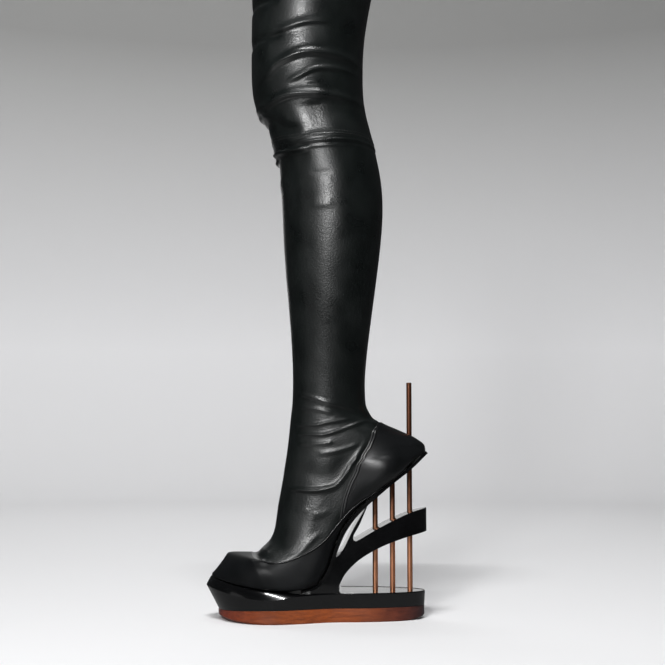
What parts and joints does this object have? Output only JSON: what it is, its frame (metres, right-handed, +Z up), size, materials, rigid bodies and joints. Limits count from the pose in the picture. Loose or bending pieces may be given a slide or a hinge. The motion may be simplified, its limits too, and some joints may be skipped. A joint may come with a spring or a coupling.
{
  "type": "thigh-high platform boot",
  "caption": "Left thigh-high stretch leather boot on a carved black lacquered platform with a forked neck, a wooden sole plate and upright copper rods under and behind the heel.",
  "frame": {"origin": "on the floor, on the flat tread of the wooden sole plate, under the shaft", "axes": "+Z up along the shaft, -X towards the toe, -Y towards the outer (little toe) side of the left foot"},
  "size_m": [0.2181, 0.132, 0.745],
  "materials": {
    "sole_wood": "oiled reddish-brown wood with long grain",
    "black_lacquer": "carved wood under high-gloss black lacquer",
    "sole_lacquer": "glossy black",
    "stretch_leather": "satin stretch leather with fine grain",
    "shell_leather": "smooth polished leather",
    "insole_leather": "matt lining leather",
    "copper": "lightly tarnished copper, satin"
  },
  "bodies": {
    "root": {"outsole": "sole_wood", "platform": "black_lacquer", "shank": "sole_lacquer", "upper": "stretch_leather", "insole": "insole_leather", "vamp_shell": "shell_leather", "heel_counter": "shell_leather", "rod_front": "copper", "rod_middle": "copper", "rod_rear": "copper"}
  },
  "joints": []
}
